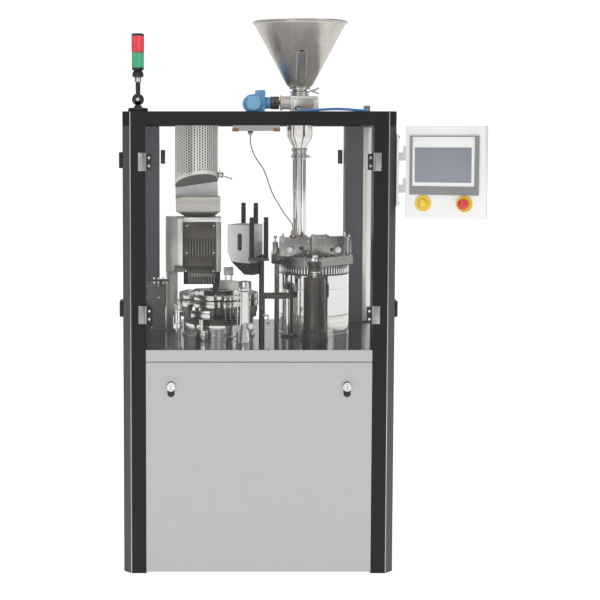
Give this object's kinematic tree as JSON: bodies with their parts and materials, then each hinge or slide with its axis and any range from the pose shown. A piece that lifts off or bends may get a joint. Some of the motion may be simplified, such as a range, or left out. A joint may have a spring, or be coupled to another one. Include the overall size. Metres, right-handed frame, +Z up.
{
  "type": "capsule filler",
  "caption": "Floor-standing capsule filler: glazed steel cabinet with an indexing turret, powder dosing station, hoppers, light tower and swinging control panel.",
  "frame": {"origin": "on the floor under the middle of the cabinet, on the underside of the base frame", "axes": "+Z up, the doors and the control panel face -Y, +X to the right of a person standing in front"},
  "size_m": [1.346, 1.0045, 2.1093],
  "materials": {
    "black_paint": "satin textured powder coat",
    "grey_paint": "satin grey paint",
    "white_paint": "satin white paint",
    "polished_steel": "polished stainless steel",
    "brushed_steel": "brushed stainless steel",
    "dark_steel": "dark satin steel",
    "black_plastic": "moulded",
    "clear_glass": "clear toughened glass",
    "clear_acrylic": "clear acrylic",
    "red_plastic": "gloss",
    "green_plastic": "gloss",
    "yellow_plastic": "gloss",
    "blue_paint": "satin paint on a casting",
    "blue_hose": "polyurethane tube",
    "grey_plastic": "moulded",
    "cast_iron": "painted casting",
    "cable_grey": "cable sheath"
  },
  "bodies": {
    "cabinet": {"base_frame": "cast_iron", "post_front_left": "black_paint", "post_front_right": "black_paint", "post_rear_left": "black_paint", "post_rear_right": "black_paint", "top_frame": "black_paint", "roof_panel": "grey_paint", "table_plate": "polished_steel", "front_fascia": "grey_paint", "lower_left_cover": "grey_paint", "lower_right_cover": "grey_paint", "lower_rear_cover": "grey_paint", "tower_base": "black_plastic", "panel_bracket": "white_paint", "powder_hopper": "brushed_steel", "feeder_body": "polished_steel", "feeder_motor": "blue_paint", "feed_funnel": "brushed_steel", "feed_tube": "polished_steel", "level_sensor": "dark_steel", "sensor_cable": "cable_grey", "air_hose": "blue_hose", "capsule_hopper": "brushed_steel", "capsule_window": "clear_acrylic", "capsule_chute": "brushed_steel", "magazine_housing": "dark_steel", "turret_drum": "polished_steel", "closing_column": "polished_steel", "suction_duct": "brushed_steel", "pellet_hopper": "brushed_steel", "dosing_drum": "polished_steel", "dosing_column": "dark_steel", "tamping_plate": "dark_steel", "drive_motor": "blue_paint", "index_gearbox": "cast_iron"},
    "front_cover": {"lower_front_cover": "grey_paint"},
    "lock_left": {"cover_lock_left": "polished_steel"},
    "lock_right": {"cover_lock_right": "polished_steel"},
    "door_front_left": {"front_door_left": "clear_glass"},
    "door_front_right": {"front_door_right": "clear_glass"},
    "door_side_left": {"side_door_left": "clear_glass"},
    "door_side_right": {"side_door_right": "clear_glass"},
    "door_rear_left": {"rear_door_left": "clear_glass"},
    "door_rear_right": {"rear_door_right": "clear_glass"},
    "tower": {"tower_mast": "black_plastic", "tower_lens_green": "green_plastic", "tower_lens_red": "red_plastic"},
    "panel": {"panel_housing": "white_paint", "touch_screen": "grey_plastic"},
    "stop_button": {"estop_button": "red_plastic"},
    "run_button": {"start_button": "yellow_plastic"},
    "auger": {"feed_auger": "dark_steel"},
    "lever": {"gate_lever": "polished_steel"},
    "comb": {"magazine_comb": "dark_steel"},
    "turret": {"turret_disc": "dark_steel", "lower_segments": "brushed_steel", "upper_segments": "polished_steel"},
    "dosing_disc": {"dosing_ring": "brushed_steel"},
    "crosshead": {"tamping_crosshead": "brushed_steel"},
    "cam_shaft": {"main_shaft": "dark_steel"}
  },
  "joints": [
    {"name": "front_cover_tilt", "type": "hinge", "parent": "cabinet", "child": "front_cover", "pos_m": [0, -0.43, 0.006], "axis": [1, 0, 0], "range_deg": [0, 20]},
    {"name": "lock_left_turn", "type": "hinge", "parent": "front_cover", "child": "lock_left", "pos_m": [-0.33, -0.43, 0.714], "axis": [0, -1, 0], "range_deg": [0, 90]},
    {"name": "lock_right_turn", "type": "hinge", "parent": "front_cover", "child": "lock_right", "pos_m": [0.33, -0.43, 0.714], "axis": [0, 1, 0], "range_deg": [0, 90]},
    {"name": "front_door_left_hinge", "type": "hinge", "parent": "cabinet", "child": "door_front_left", "pos_m": [-0.424, -0.436, 1.27], "axis": [0, 0, -1], "range_deg": [0, 110]},
    {"name": "front_door_right_hinge", "type": "hinge", "parent": "cabinet", "child": "door_front_right", "pos_m": [0.424, -0.436, 1.27], "axis": [0, 0, 1], "range_deg": [0, 110]},
    {"name": "side_door_left_hinge", "type": "hinge", "parent": "cabinet", "child": "door_side_left", "pos_m": [-0.516, -0.344, 1.27], "axis": [0, 0, 1], "range_deg": [0, 110]},
    {"name": "side_door_right_hinge", "type": "hinge", "parent": "cabinet", "child": "door_side_right", "pos_m": [0.516, -0.344, 1.27], "axis": [0, 0, -1], "range_deg": [0, 85]},
    {"name": "rear_door_left_hinge", "type": "hinge", "parent": "cabinet", "child": "door_rear_left", "pos_m": [-0.398, 0.436, 1.27], "axis": [0, 0, 1], "range_deg": [0, 110]},
    {"name": "rear_door_right_hinge", "type": "hinge", "parent": "cabinet", "child": "door_rear_right", "pos_m": [0.398, 0.436, 1.27], "axis": [0, 0, -1], "range_deg": [0, 110]},
    {"name": "tower_fold", "type": "hinge", "parent": "cabinet", "child": "tower", "pos_m": [-0.452, -0.385, 1.7873], "axis": [0, 1, 0], "range_deg": [0, 90]},
    {"name": "panel_swing", "type": "hinge", "parent": "cabinet", "child": "panel", "pos_m": [0.545, -0.385, 1.5], "axis": [0, 0, 1], "range_deg": [-15, 20]},
    {"name": "stop_button_press", "type": "slide", "parent": "panel", "child": "stop_button", "axis": [0.342, 0.9397, 0], "range_m": [0, 0.005]},
    {"name": "run_button_press", "type": "slide", "parent": "panel", "child": "run_button", "axis": [0.342, 0.9397, 0], "range_m": [0, 0.004], "stiffness_N_per_m": 500},
    {"name": "auger_spin", "type": "hinge", "parent": "cabinet", "child": "auger", "pos_m": [0.18, 0.044, 1.7843], "axis": [1, 0, 0], "continuous": true},
    {"name": "gate_lever_turn", "type": "hinge", "parent": "cabinet", "child": "lever", "pos_m": [-0.14, 0.005, 1.494], "axis": [0, 1, 0], "range_deg": [0, 50]},
    {"name": "comb_stroke", "type": "slide", "parent": "cabinet", "child": "comb", "axis": [0, 0, -1], "range_m": [0, 0.02]},
    {"name": "turret_spin", "type": "hinge", "parent": "cabinet", "child": "turret", "pos_m": [-0.147, -0.015, 0.95], "axis": [0, 0, 1], "continuous": true},
    {"name": "dosing_spin", "type": "hinge", "parent": "cabinet", "child": "dosing_disc", "pos_m": [0.242, 0.044, 1.11], "axis": [0, 0, 1], "continuous": true},
    {"name": "crosshead_stroke", "type": "slide", "parent": "cabinet", "child": "crosshead", "axis": [0, 0, 1], "range_m": [0, 0.025]},
    {"name": "cam_shaft_spin", "type": "hinge", "parent": "cabinet", "child": "cam_shaft", "pos_m": [0, 0, 0.61], "axis": [1, 0, 0], "continuous": true}
  ],
  "couplings": [
    {"joint": "dosing_spin", "follows": "turret_spin", "ratio": -1.3333},
    {"joint": "cam_shaft_spin", "follows": "turret_spin", "ratio": 8}
  ]
}
